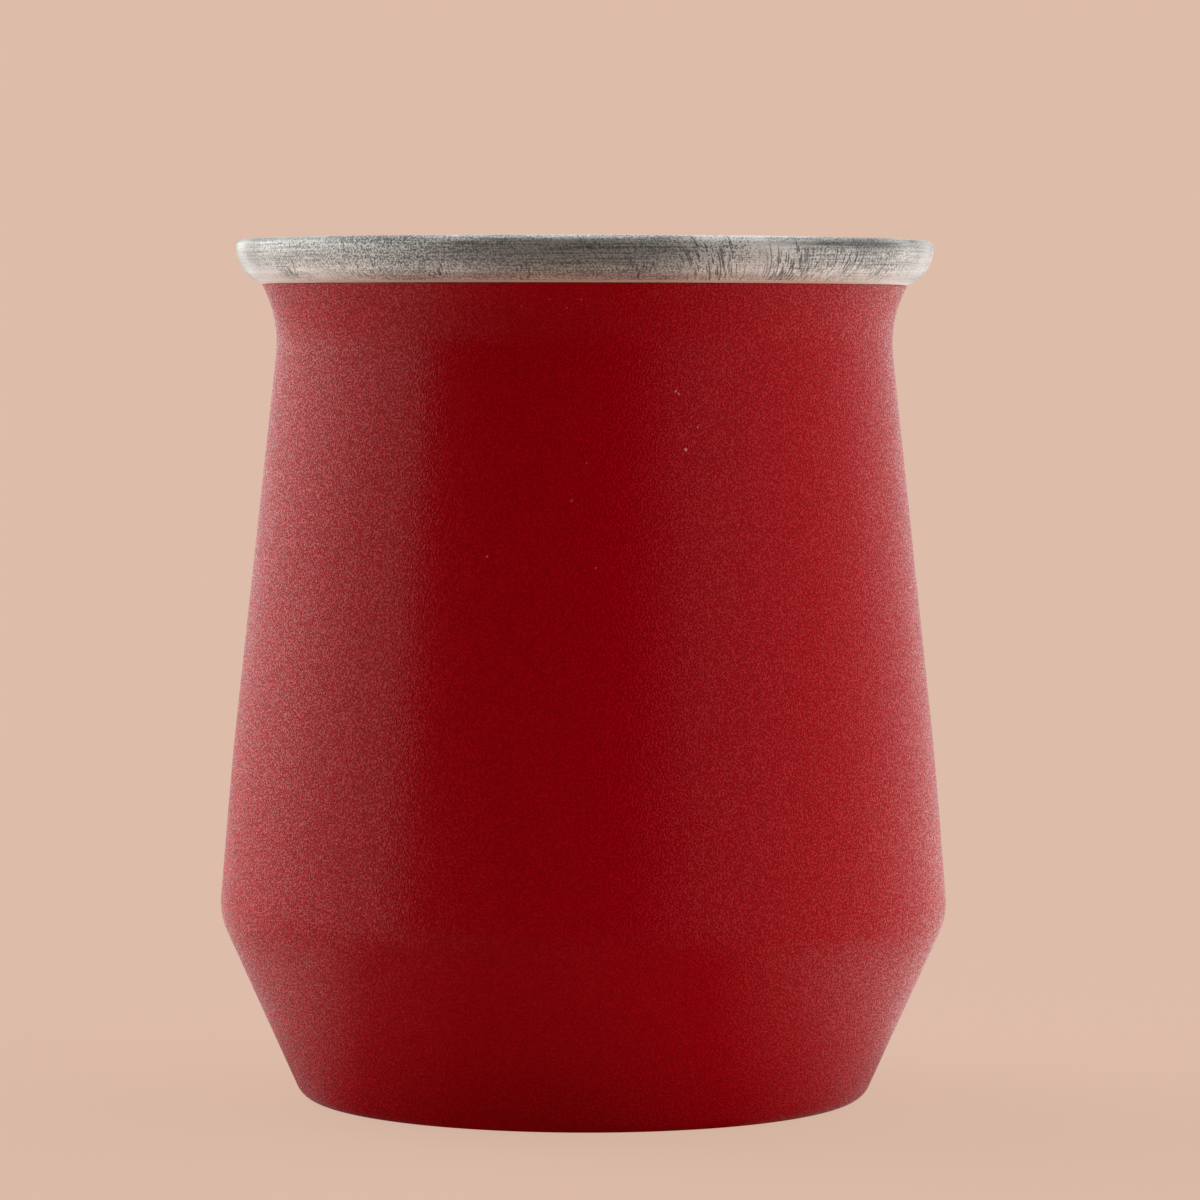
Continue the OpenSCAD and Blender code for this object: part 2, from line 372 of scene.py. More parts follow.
def rounded(path):
    """The path as points, with every rounded corner drawn as an arc."""
    last = len(path) - 1
    asked = [0.0] * len(path)
    for i in range(1, last):
        asked[i] = path[i][2] * abs(math.tan(turn_at(*path[i - 1:i + 2]) / 2))
    share = []
    for i in range(last):
        room = np.hypot(*(place(path[i + 1]) - place(path[i]))) * SIDE_FILL
        wanted = asked[i] + asked[i + 1]
        share.append(room / wanted if wanted > room else 1.0)
    points = []
    for i, corner in enumerate(path):
        if asked[i] > 0:
            points += arc(*path[i - 1:i + 2], asked[i] * min(share[i - 1], share[i]))
        else:
            points.append(place(corner))
    return points


def softened(loop):
    """A closed loop of points with its sharp edges rounded a little. Points on the axis stay."""
    soft = []
    count = len(loop)
    for i in range(count):
        a, b, c = loop[i - 1], loop[i], loop[(i + 1) % count]
        sharp = b[0] > 0 and abs(turn_at(a, b, c)) > SHARP_ANGLE
        if not sharp:
            soft.append(b)
            continue
        shortest = min(np.hypot(*(b - a)), np.hypot(*(c - b)))
        soft += arc(a, b, c, min(EDGE_ROUND, EDGE_SHARE * shortest))
    return soft


def dense(loop):
    """A closed loop with its long sides cut into short ones."""
    points = []
    for i, start in enumerate(loop):
        end = loop[(i + 1) % len(loop)]
        on_axis = start[0] == 0 and end[0] == 0
        pieces = 1 if on_axis else max(1, math.ceil(np.hypot(*(end - start)) / LONGEST_STEP))
        points += [start + (end - start) * k / pieces for k in range(pieces)]
    return points


def sheet_loop(path, inner_path):
    """Closed section of a sheet between two paths."""
    return dense(softened(rounded(path) + rounded(inner_path)[::-1]))


# Meshes


def turned(name, loop, materials, pick=None):
    """A closed mesh turned about the axis. pick gives the material's number at a point of the section."""
    points = np.array(loop)
    count = len(points)
    angles = SEAM_ANGLE + 2 * math.pi * np.arange(AROUND) / AROUND
    steps = np.hypot(*np.diff(np.vstack([points, points[:1]]), axis=0).T)
    reach = np.concatenate([[0], np.cumsum(steps)]) / steps.sum()
    vertices, rings = [], []
    for across, height in points:
        on_axis = across == 0
        first = len(vertices)
        for angle in angles[:1] if on_axis else angles:
            spot = (across * math.cos(angle), across * math.sin(angle), height)
            vertices.append([value * MM for value in spot])
        rings.append([first] * AROUND if on_axis else list(range(first, first + AROUND)))
    faces, maps, numbers = [], [], []
    for i in range(count):
        k = (i + 1) % count
        if points[i, 0] == 0 and points[k, 0] == 0:
            continue
        number = pick(*(points[i] + points[k]) / 2) if pick else 0
        for j in range(AROUND):
            n = (j + 1) % AROUND
            left, right = j / AROUND, (j + 1) / AROUND
            corners = [
                (rings[i][j], (left, reach[i])),
                (rings[i][n], (right, reach[i])),
                (rings[k][n], (right, reach[i + 1])),
                (rings[k][j], (left, reach[i + 1])),
            ]
            if points[i, 0] == 0:
                corners.pop(1)
            if points[k, 0] == 0:
                corners.pop(2)
            faces.append([corner[0] for corner in corners])
            maps += [corner[1] for corner in corners]
            numbers.append(number)
    return mesh_piece(name, vertices, faces, maps, numbers, materials)


def mesh_piece(name, vertices, faces, maps, numbers, materials):
    """An object from vertices, faces, a map for baking and material numbers, shaded smooth."""
    mesh = bpy.data.meshes.new(name)
    mesh.from_pydata(vertices, [], faces)
    layer = mesh.uv_layers.new(name=BAKE_MAP)
    layer.data.foreach_set("uv", np.array(maps, np.float32).ravel())
    for material in materials:
        mesh.materials.append(material)
    mesh.polygons.foreach_set("material_index", numbers)
    mesh.polygons.foreach_set("use_smooth", [True] * len(faces))
    mesh.set_sharp_from_angle(angle=SHARP_ANGLE)
    mesh.update()
    piece = bpy.data.objects.new(name, mesh)
    bpy.context.scene.collection.objects.link(piece)
    return piece


def dress(piece, node):
    """The piece rides on the cup and stands for its node, which it hides."""
    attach(piece, "root")
    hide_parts(node)


# Materials


class Graph:
    """A node tree, with short calls for the nodes used here."""

    def __init__(self, owner, output):
        owner.use_nodes = True
        self.owner = owner
        self.tree = owner.node_tree
        self.tree.nodes.clear()
        self.output = self.tree.nodes.new(output)

    def add(self, kind, inputs=None, **settings):
        """A node with its settings, its values and its links."""
        node = self.tree.nodes.new(kind)
        for key, value in settings.items():
            setattr(node, key, value)
        for key, value in (inputs or {}).items():
            self.put(node.inputs[key], value)
        return node

    def put(self, socket, value):
        if isinstance(value, bpy.types.NodeSocket):
            self.tree.links.new(value, socket)
        elif isinstance(value, tuple) and len(value) == 3 and socket.type == "RGBA":
            socket.default_value = (*value, 1.0)
        else:
            socket.default_value = value

    def math(self, operation, *values):
        node = self.add("ShaderNodeMath", dict(enumerate(values)), operation=operation)
        return node.outputs[0]

    def total(self, *weighted):
        """Sum of values times their weights."""
        result = 0.0
        for value, weight in weighted:
            result = self.math("MULTIPLY_ADD", value, weight, result)
        return result

    def largest(self, values):
        """The largest of several values."""
        result = 0.0
        for value in values:
            result = self.math("MAXIMUM", value, result)
        return result

    def spread(self, value, low, high, to_low=0.0, to_high=1.0):
        """The value's range low to high, eased to another range."""
        inputs = {"Value": value, 1: low, 2: high, 3: to_low, 4: to_high}
        node = self.add("ShaderNodeMapRange", inputs, interpolation_type="SMOOTHSTEP")
        return node.outputs["Result"]

    def band(self, value, begin, full, fading, end):
        """1 where the value lies from full to fading, easing to 0 at begin and at end."""
        return self.math("MULTIPLY", self.spread(value, begin, full), self.spread(value, end, fading))

    def mix(self, share, first, second):
        """A colour between two colours."""
        node = self.add("ShaderNodeMix", {"Factor": share, 6: first, 7: second}, data_type="RGBA")
        return node.outputs[2]

    def noise(self, vector, size, detail=2.0, roughness=0.5):
        """Noise whose patches are about size long, in the vector's unit."""
        inputs = {"Vector": vector, "Scale": 1 / size, "Detail": detail, "Roughness": roughness}
        return self.add("ShaderNodeTexNoise", inputs).outputs["Fac"]

    def bump(self, height, depth):
        """A normal from a height of 0 to 1, with its depth in metres."""
        inputs = {"Height": height, "Distance": depth, "Strength": 1.0}
        return self.add("ShaderNodeBump", inputs).outputs["Normal"]

    def position(self):
        return self.add("ShaderNodeTexCoord").outputs["Object"]

    def split(self, vector):
        parts = self.add("ShaderNodeSeparateXYZ", {"Vector": vector})
        return [parts.outputs[i] for i in range(3)]

    def radius(self, x, y):
        """Distance from the axis, never nought."""
        square = self.math("MULTIPLY_ADD", y, y, self.math("MULTIPLY", x, x))
        return self.math("MAXIMUM", self.math("SQRT", square), TINY)

    def turn(self, x, y):
        """Azimuth in radians from the camera's side of the cup towards the camera's right."""
        return self.math("ARCTAN2", x, self.math("MULTIPLY", y, -1.0))

    def stretched(self, vector, round_size, up_size):
        """Coordinates on the cup: one unit is round_size round it and up_size up it or across it."""
        x, y, z = self.split(vector)
        across = self.radius(x, y)
        ring = WALL_R * MM / round_size
        around_x = self.math("MULTIPLY", self.math("DIVIDE", x, across), ring)
        around_y = self.math("MULTIPLY", self.math("DIVIDE", y, across), ring)
        up = self.math("DIVIDE", self.math("ADD", z, across), up_size)
        joined = self.add("ShaderNodeCombineXYZ", {"X": around_x, "Y": around_y, "Z": up})
        return joined.outputs["Vector"]

    def zones(self, turn, places):
        """1 at the azimuths named in places, as pairs of middle and half width in degrees, easing to 0."""
        masks = []
        for middle, half in places:
            off = self.math("ABSOLUTE", self.math("SUBTRACT", turn, math.radians(middle)))
            masks.append(self.spread(off, 0.0, math.radians(half), 1.0, 0.0))
        return self.largest(masks)

    def around_axis(self):
        """Tangent for brushing round the axis."""
        return self.add("ShaderNodeTangent", direction_type="RADIAL", axis="Z").outputs["Tangent"]

    def finish(self, inputs):
        """The surface shader with its inputs, on the output."""
        shader = self.add("ShaderNodeBsdfPrincipled", inputs)
        self.tree.links.new(shader.outputs[0], self.output.inputs["Surface"])
        return self.owner


def new_material(name):
    return Graph(bpy.data.materials.new(name), "ShaderNodeOutputMaterial")


def scaled(colour, factor):
    return tuple(factor * part for part in colour)


def on_coat(azimuth, height):
    """Point of the coat's face, in metres, at an azimuth in degrees and a height in millimetres."""
    radii, heights = np.array(rounded(body_corners)).T
    across = np.interp(height, heights, radii)
    a = math.radians(azimuth)
    return Vector((across * math.sin(a), -across * math.cos(a), height)) * MM


def powder_coat_material():
    """Red powder coat: sandy grain, a satin gloss that the hollows lose, and a few pale specks. The grain's
    hollows are painted darker as shade and its crests lighter, and the specks' pale colour is a painted
    glint.
    """
    g = new_material("red_powder_coat")
    where = g.position()
    grain = g.noise(where, *GRAIN)
    swell = g.noise(where, *SWELL)
    crests = g.spread(grain, *GRAIN_RANGE)
    marks_and_painted_light = []
    for azimuth, up, size, strength in PALE_SPECKS_AND_GLINTS:
        inputs = {0: where, 1: on_coat(azimuth, up)}
        away = g.add("ShaderNodeVectorMath", inputs, operation="DISTANCE").outputs["Value"]
        marks_and_painted_light.append(g.spread(away, size * MM, SPECK_CORE * size * MM, 0.0, strength))
    # Painted shade and light: the grain's hollows take a darker red, its crests a lighter one
    red = g.mix(crests, scaled(COAT_RED, COAT_SHADED_TONES[0]), scaled(COAT_RED, COAT_SHADED_TONES[1]))
    relief = g.total((grain, GRAIN_SHARE), (swell, SWELL_SHARE))
    return g.finish({
        # The specks' pale colour is a painted glint
        "Base Color": g.mix(g.largest(marks_and_painted_light), red, SPECK_GLINT_COLOUR),
        "Roughness": g.spread(crests, 0.0, 1.0, *MATT_RANGE),
        "Normal": g.bump(relief, GRAIN_DEPTH),
        "Specular IOR Level": 0.0,
        "Coat Weight": g.spread(crests, 0.0, 1.0, *GLOSS_RANGE),
        "Coat Roughness": COAT_ROUGH,
        "Coat IOR": COAT_IOR,
        "Coat Normal": g.bump(relief, GLOSS_DEPTH),
    })


def strokes(g, turn, rise, spacing, half, low, high, shortest, longest, seed):
    """Thin strokes across the rim, one for each spacing, with a foot and a length of its own."""
    reach = g.math("MULTIPLY", turn, rim_r * MM / spacing)
    cell = g.math("ADD", g.math("FLOOR", reach), seed)
    part = g.math("FRACT", reach)
    chances = g.add("ShaderNodeTexWhiteNoise", {"W": cell}, noise_dimensions="1D").outputs["Color"]
    side, start, size = g.split(chances)
    off = g.math("ABSOLUTE", g.math("SUBTRACT", part, g.math("MULTIPLY_ADD", side, *STROKE_ROOM)))
    line = g.spread(off, half / spacing, STROKE_CORE * half / spacing)
    foot = g.math("MULTIPLY_ADD", start, high - low, low)
    length = g.math("MULTIPLY_ADD", g.math("MULTIPLY", size, size), longest - shortest, shortest)
    share = g.math("DIVIDE", g.math("SUBTRACT", rise, foot), length)
    return g.math("MULTIPLY", line, g.band(share, *STROKE_ENDS))


def rim_marks_and_top_shade(g, where, turn, rise):
    """Dark strokes across the rim and pits low down, with a painted dark reflection along its top."""
    worn = g.spread(g.noise(where, *WEAR), *WORN_RANGE)
    middle, rate = STROKE_FAN
    lean = g.math("MULTIPLY_ADD", rise, -rate, 1.0)
    fanned = g.math("MULTIPLY", g.math("SUBTRACT", turn, math.radians(middle)), lean)
    carved = g.zones(turn, CARVED)
    scratched = g.math("MAXIMUM", g.zones(turn, SCRATCHED), g.math("MULTIPLY", worn, WORN_SCRATCHES))
    pitted = g.math("MAXIMUM", g.zones(turn, PITTED), g.math("MULTIPLY", worn, WORN_PITS))
    kinds = [
        (fanned, DENSE_STROKES, carved),
        (fanned, LONG_STROKES, scratched),
        (fanned, FULL_STROKES, scratched),
        (turn, SHORT_STROKES, pitted),
    ]
    marks_and_painted_light = [g.math("MULTIPLY", strokes(g, way, rise, *kind), worn_here) for way, kind, worn_here in kinds]
    # Painted shade: a dark line along the top edge, where the rounding reflects a dark ceiling
    top = g.math("MULTIPLY", g.band(rise, *TOP_BAND), TOP_SHADE_SHARE)
    top_shade = g.math("MULTIPLY", g.zones(turn, TOP_SHADE_ZONES), top)
    return g.largest(marks_and_painted_light + [top_shade])


def rim_material():
    """Bare steel of the rim: brushed round, sanded, scratched across and pitted. Light and shade are
    painted on it too: a pale highlight on its worn lower edge, a lighter lower band, lighter worn places at
    the sides, and darker bands.
    """
    g = new_material("rim_steel")
    where = g.position()
    x, y, z = g.split(where)
    turn = g.turn(x, y)
    rise = g.math("SUBTRACT", z, coat_top * MM)
    high = g.spread(rise, *HIGH_BAND)
    low = g.spread(rise, *LOW_BAND)
    brushing = g.noise(g.stretched(where, *RIM_STREAK), *RIM_BRUSHING)
    sand = g.noise(where, *SAND)
    patches = g.noise(where, *PATCHES)
    marks_and_painted_light = rim_marks_and_top_shade(g, where, turn, rise)
    # The polished places at the rim's ends are also painted lighter, as a highlight
    smooth = g.zones(turn, POLISHED_AND_LIT)
    low_frosted_and_lit = g.math("MULTIPLY", g.zones(turn, LOW_FROSTED_AND_LIT), low)
    frosted_and_lit = g.math("MAXIMUM", g.zones(turn, FROSTED_AND_LIT), low_frosted_and_lit)
    sanded = g.math("MULTIPLY", g.zones(turn, SANDED), high)

    worn_contrast = g.total((sanded, SANDED_CONTRAST), (smooth, SMOOTH_CONTRAST))
    contrast = g.math("ADD", worn_contrast, RIM_CONTRAST)
    grain = g.math("MULTIPLY", g.math("SUBTRACT", sand, NOISE_MEAN), contrast)
    streak_contrast = g.spread(smooth, 0.0, 1.0, *STREAK_CONTRAST)
    streaks = g.math("MULTIPLY", g.math("SUBTRACT", brushing, NOISE_MEAN), streak_contrast)
    # Patches give the steel's own tone; the worn places at the sides and low down add a lighter tone, as
    # painted light
    worn_and_lit_tone = g.total((patches, PATCH_TONE), (smooth, SMOOTH_HIGHLIGHT_TONE), (frosted_and_lit, FROSTED_PAINTED_LIGHT))
    tone = g.spread(g.math("ADD", g.math("ADD", grain, streaks), worn_and_lit_tone), *TONE_RANGE)
    # Painted light: the rim's lower band takes a lighter steel than its upper part
    light = g.mix(low, scaled(RIM_STEEL, RIM_LIGHT), scaled(RIM_LOW_PAINTED_LIGHT, RIM_LOW_LIGHT))
    tint = g.mix(tone, scaled(RIM_STEEL, RIM_DARK), light)

    # Dark strokes and pits, and the painted dark line along the top
    tint = g.mix(g.math("MULTIPLY", marks_and_painted_light, MARK_SHARE), tint, RIM_DIRT_AND_SHADE)
    wavy = g.math("MULTIPLY_ADD", g.math("SUBTRACT", patches, NOISE_MEAN), EDGE_WAVE, rise)
    # Painted shade: a band above the lower edge, the upper right and the upper left are darkened
    seam_shade = g.band(wavy, *SEAM_SHADE_BAND)
    shaded = g.math("MULTIPLY", g.zones(turn, SHADED), g.spread(rise, *SHADED_BAND))
    upper_left_shade = g.math("MULTIPLY", g.zones(turn, UPPER_LEFT_SHADE), high)
    painted_shade = g.total((seam_shade, SEAM_SHADE_SHARE), (shaded, SHADED_SHARE), (upper_left_shade, UPPER_LEFT_SHADE_SHARE))
    tint = g.mix(painted_shade, tint, RIM_DIRT_AND_SHADE)
    # Painted highlight along the rim's worn lower edge
    edge = g.spread(wavy, *EDGE_HIGHLIGHT_BAND)

    relief = g.total((grain, RIM_GRAIN_RELIEF), (brushing, RIM_BRUSHED_RELIEF), (marks_and_painted_light, RIM_MARK_RELIEF))
    worn_metal = g.total((smooth, SMOOTH_METAL), (frosted_and_lit, FROSTED_METAL))
    metal = g.math("ADD", g.spread(rise, *METAL_RISE), worn_metal)
    least, most = METAL_LIMITS
    rough = g.total((patches, ROUGH_SHARE), (sand, ROUGH_SHARE))
    return g.finish({
        "Base Color": g.mix(edge, tint, WORN_EDGE_HIGHLIGHT),
        "Metallic": g.math("MINIMUM", g.math("MAXIMUM", metal, least), most),
        "Roughness": g.spread(rough, *NOISE_RANGE, *RIM_ROUGH),
        "Normal": g.bump(relief, RIM_DEPTH),
        "Anisotropic": RIM_ANISOTROPY,
        "Tangent": g.around_axis(),
    })


def steel_material(name, colour, rough):
    """Sheet steel brushed round the axis."""
    g = new_material(name)
    where = g.position()
    brushing = g.noise(g.stretched(where, *STEEL_STREAK), *STEEL_BRUSHING)
    patches = g.noise(where, *STEEL_PATCHES)
    tone = g.spread(g.total((brushing, BRUSHED_TONE), (patches, PATCHED_TONE)), *NOISE_RANGE)
    rough_span = [rough + step for step in STEEL_ROUGH_SPAN]
    return g.finish({
        "Base Color": g.mix(tone, scaled(colour, STEEL_TONES[0]), scaled(colour, STEEL_TONES[1])),
        "Metallic": 1.0,
        "Roughness": g.spread(patches, *NOISE_RANGE, *rough_span),
        "Normal": g.bump(brushing, STEEL_DEPTH),
        "Anisotropic": STEEL_ANISOTROPY,
        "Tangent": g.around_axis(),
    })


def copper_material():
    """Thin copper foil with small creases."""
    g = new_material("copper_foil")
    creases = g.noise(g.position(), *CREASES)
    return g.finish({
        "Base Color": g.mix(g.spread(creases, *NOISE_RANGE), COPPER_DARK, COPPER_LIGHT),
        "Metallic": 1.0,
        "Roughness": g.spread(creases, *NOISE_RANGE, *COPPER_ROUGH),
        "Normal": g.bump(creases, CREASE_DEPTH),
    })


def glass_material():
    """Dark solder glass with fine bubbles."""
    g = new_material("solder_glass")
    bubbles = g.noise(g.position(), *BUBBLES)
    return g.finish({
        "Base Color": g.mix(g.spread(bubbles, *BUBBLE_RANGE), GLASS_DARK, GLASS_LIGHT),
        "Roughness": g.spread(bubbles, *NOISE_RANGE, *GLASS_ROUGH),
        "Normal": g.bump(bubbles, BUBBLE_DEPTH),
        "Coat Weight": GLASS_COAT,
    })


def getter_material():
    """Pressed grey getter powder."""
    g = new_material("getter_metal")
    grains = g.noise(g.position(), *POWDER)
    return g.finish({
        "Base Color": g.mix(g.spread(grains, *NOISE_RANGE), GETTER_DARK, GETTER_LIGHT),
        "Metallic": GETTER_METAL,
        "Roughness": g.spread(grains, *NOISE_RANGE, *GETTER_ROUGH),
        "Normal": g.bump(grains, POWDER_DEPTH),
    })


# Shapes of the cup


coat_top = HEIGHT - RIM_BAND
base_corner = (BASE_R, 0, BASE_ROUND)
belly_corner = (BELLY_R, BELLY_H, BELLY_ROUND)
wall_corner = (WALL_R, WALL_H, WALL_ROUND)
neck_corner = (NECK_R, coat_top - FLARE_H, NECK_ROUND)
ledge = (NECK_R + FLARE_OUT, coat_top, 0)
body_corners = [base_corner, belly_corner, wall_corner, neck_corner, ledge]
hem_r = BASE_R - FOOT_W
flare_way = along(neck_corner, ledge)
flare_left = left_of(neck_corner, ledge)


def flare_at(z):
    """A point on the flare's line, at a height."""
    return (ledge[0] + (z - coat_top) * FLARE_OUT / FLARE_H, z, 0)


rim_r = ledge[0] + RIM_OVERHANG
edge_by_wall = coat_top + (rim_r - LINER_T - LIP_GAP - ledge[0]) * FLARE_H / FLARE_OUT
edge_by_top = HEIGHT - LINER_T - LIP_GAP
shell_flare = place(ledge) + flare_left * COAT_T
liner_flare = place(ledge) + flare_left * (COAT_T + SHELL_T + LINER_T)
rim_corner = (rim_r, coat_top + RIM_RISE, RIM_UNDER_ROUND)
rim_top_corner = (rim_r, HEIGHT, RIM_TOP_ROUND)
under_way = along(flare_at(coat_top + COAT_GAP), rim_corner)
under_edge = crossing(place(rim_corner), under_way, shell_flare, flare_way)
mouth = crossing((0, HEIGHT), (1, 0), liner_flare, flare_way)
liner_neck_r = NECK_R - COAT_T - SHELL_T - NECK_GAP - LINER_T
liner_neck = crossing((liner_neck_r, 0), (0, 1), liner_flare, flare_way)
bottom_top = BOTTOM_H + BOTTOM_T
floor_h = bottom_top + FLOOR_GAP + LINER_T
floor_r = liner_neck_r - LINER_TAPER
seam_h = floor_h + FLOOR_ROUND + SEAM_RISE
middle_h = floor_h + FLOOR_MIDDLE_H
skirt_r = hem_r - BOTTOM_T
dimple_h = BOTTOM_H + DIMPLE_DEPTH


def liner_wall_at(z):
    """A point of the liner's straight wall, at a height."""
    return (floor_r + (z - floor_h) * LINER_TAPER / (liner_neck[1] - floor_h), z, 0)


def make_coat(material):
    path = [(hem_r + HEM_ROUND, 0, 0)] + body_corners
    return turned("coat_skin", sheet_loop(path, shifted(path, COAT_T)), [material])


def make_shell(material):
    face = [(hem_r, 0, 0)] + body_corners + [flare_at(min(edge_by_wall, edge_by_top))]
    path = [(hem_r, COLLAR_H, 0), (hem_r, COAT_T, HEM_ROUND)] + shifted(face, COAT_T)[1:]
    return turned("shell_wall", sheet_loop(path, shifted(path, SHELL_T)), [material])


def make_liner(rim_material, inside_material):
    path = [
        (*under_edge, 0),
        rim_corner,
        rim_top_corner,
        (*mouth, MOUTH_ROUND),
        (*liner_neck, LINER_NECK_ROUND),
        liner_wall_at(seam_h),
    ]
    back = shifted(path, LINER_T)
    back_edge = crossing(place(back[1]), under_way, shell_flare, flare_way)
    inner = [(*back_edge, 0)] + back[1:]

    def pick(r, z):
        outside = r > mouth[0] or cross(flare_way, np.array((r, z)) - shell_flare) < TINY
        return 0 if outside and z > coat_top else 1

    return turned("liner_and_rim", sheet_loop(path, inner), [rim_material, inside_material], pick)


def make_liner_floor(material):
    path = [
        liner_wall_at(seam_h),
        (floor_r, floor_h, FLOOR_ROUND),
        (FLOOR_MIDDLE_R, middle_h, FLOOR_MIDDLE_ROUND),
        (0, middle_h, 0),
    ]
    return turned("liner_floor", sheet_loop(path, shifted(path, LINER_T)), [material])


def make_foil(material):
    path = [liner_wall_at(liner_neck[1] - FOIL_NECK_GAP), liner_wall_at(seam_h + FOIL_SEAM_GAP)]
    loop = sheet_loop(shifted(path, LINER_T), shifted(path, LINER_T + FOIL_T))
    return turned("foil_wrap", loop, [material])


def make_vacuum_floor(material):
    path = [
        (PUMP_HOLE_R, dimple_h, 0),
        (DIMPLE_R, dimple_h, 0),
        (DIMPLE_R + DIMPLE_SLOPE_W, BOTTOM_H, 0),
        (skirt_r, BOTTOM_H, BOTTOM_ROUND),
        (skirt_r, COAT_T + HEM_ROUND, 0),
    ]
    return turned("vacuum_floor", sheet_loop(path, shifted(path, BOTTOM_T)), [material])


def make_cover(material):
    path = [
        (0, COVER_RECESS + COVER_MIDDLE_H, 0),
        (COVER_MIDDLE_R, COVER_RECESS + COVER_MIDDLE_H, 0),
        (COVER_MIDDLE_R + COVER_SLOPE_W, COVER_RECESS, 0),
        (skirt_r, COVER_RECESS, COVER_ROUND),
        (skirt_r, BOTTOM_H - BOTTOM_ROUND - COVER_GAP, 0),
    ]
    return turned("cover_disc", sheet_loop(path, shifted(path, COVER_T)), [material])


# Stage


def make_camera():
    data = bpy.data.cameras.new("camera")
    data.sensor_width = SENSOR_WIDTH
    data.lens = FOCAL_PIXELS / PHOTO_PIXELS * SENSOR_WIDTH
    camera = bpy.data.objects.new("camera", data)
    bpy.context.scene.collection.objects.link(camera)
    aim = AXIS_OFFSET_PIXELS / FOCAL_PIXELS
    facing = Euler((math.pi / 2 - CAMERA_PITCH, 0, -aim)).to_matrix()
    turn = facing @ Matrix.Rotation(CAMERA_ROLL, 3, "Z")
    spot = Vector((0, -CAMERA_DISTANCE, CAMERA_HEIGHT)) * MM
    camera.matrix_world = Matrix.Translation(spot) @ turn.to_4x4()
    bpy.context.scene.camera = camera


LAMP_TARGET = Vector((0, 0, 0.05))

# Name, azimuth from the camera towards its right, elevation, distance, width, height and level
LAMPS = [
    ("key", 66, 30, 0.8, 0.5, 0.5, 1.6),
]

# Brightness of the studio that gloss shows, low down and high up.
# Each pair is an azimuth from the camera towards its right, in degrees, and a level
STUDIO_RING = [
    (-180, 1.1), (-160, 1.1), (-140, 1.4), (-114, 1.7), (-92, 1.25), (-76, 0.85), (-64, 1.1),
    (-60, 0.1), (-40, 0.02), (-20, 0.0), (17, 0.0), (42, 0.33), (85, 0.4), (105, 0.6),
    (126, 1.0), (150, 1.1), (180, 1.1),
]
CEILING_RING = [
    (-180, 0.8), (-70, 0.6), (-40, 0.2), (0, 0.05), (22, 0.1), (42, 0.8), (72, 0.8), (100, 0.4), (180, 0.8),
]
FULL_TURN = 360
RING_TOP = 0.3
CEILING = 0.7
STUDIO_TINT = (0.97, 0.95, 0.93)

# The same for the floor: near the cup and further off
FLOOR_RING = [
    (-180, 0.5), (-150, 0.6), (-115, 0.7), (-92, 0.95), (-74, 1.0), (-54, 0.25), (-25, 0.0),
    (30, 0.0), (55, 0.68), (72, 1.15), (90, 1.2), (116, 1.15), (150, 1.0), (180, 0.5),
]
FAR_RING = [
    (-180, 0.9), (-140, 1.0), (-115, 1.3), (-70, 0.9), (-45, 0.2), (-20, 0.0),
    (15, 0.0), (46, 0.28), (85, 0.8), (120, 1.35), (150, 1.3), (180, 0.9),
]
FLOOR_FAR = (0.05, 0.13)
FLOOR_TINT = (0.93, 0.86, 0.82)

# Soft fill light by azimuth: from above, as two wide boxes behind the cup, and from the floor
SKY_FILL = [
    (-180, 0.2), (-155, 2.0), (-130, 3.8), (-110, 3.4), (-90, 1.8), (-70, 0.4), (-52, 0.0),
    (15, 0.0), (45, 0.5), (75, 0.95), (105, 1.7), (125, 2.3), (150, 1.4), (180, 0.2),
]
FLOOR_FILL = [(-180, 1.3), (-90, 1.4), (-45, 0.95), (0, 0.8), (45, 1.15), (90, 1.65), (180, 1.3)]

FLOOR_SIZE = 3.0
FLOOR_DROP = 0.00002
# The floor's glow for gloss and fill rays is painted darker near the cup, as a painted shadow
FLOOR_NEAR = 0.06
FLOOR_NEAR_LEVEL = 0.46
FLOOR_NEAR_GLOSS = 0.34
FLOOR_FAR_LEVEL = 0.8
FLOOR_MATT = 0.78
SHADOW_SHARE = 0.12
SHADOW_END = 0.25


def make_lamp(name, azimuth, elevation, distance, width, height, level):
    """A soft rectangular lamp that faces the cup. Its level is about the brightness of its face."""
    data = bpy.data.lights.new(name, "AREA")
    data.shape = "RECTANGLE"
    data.size = width
    data.size_y = height
    data.energy = level * math.pi * width * height
    lamp = bpy.data.objects.new(name, data)
    bpy.context.scene.collection.objects.link(lamp)
    a, e = math.radians(azimuth), math.radians(elevation)
    away = Vector((math.sin(a) * math.cos(e), -math.cos(a) * math.cos(e), math.sin(e)))
    turn = away.to_track_quat("Z", "Y").to_matrix().to_4x4()
    lamp.matrix_world = Matrix.Translation(LAMP_TARGET + away * distance) @ turn
    lamp.visible_camera = False
    lamp.visible_glossy = False


def ring_level(g, x, y, ring):
    """Brightness of a ring of light in the direction x, y."""
    share = g.math("MULTIPLY_ADD", g.turn(x, y), 0.5 / math.pi, 0.5)
    ramp = g.add("ShaderNodeValToRGB", {"Fac": share})
    stops = ramp.color_ramp.elements
    for stop, (_, level) in zip(stops, (ring[0], ring[-1])):
        stop.color = (level, level, level, 1.0)
    for azimuth, level in ring[1:-1]:
        stops.new(azimuth / FULL_TURN + 0.5).color = (level, level, level, 1.0)
    return ramp.outputs["Color"]


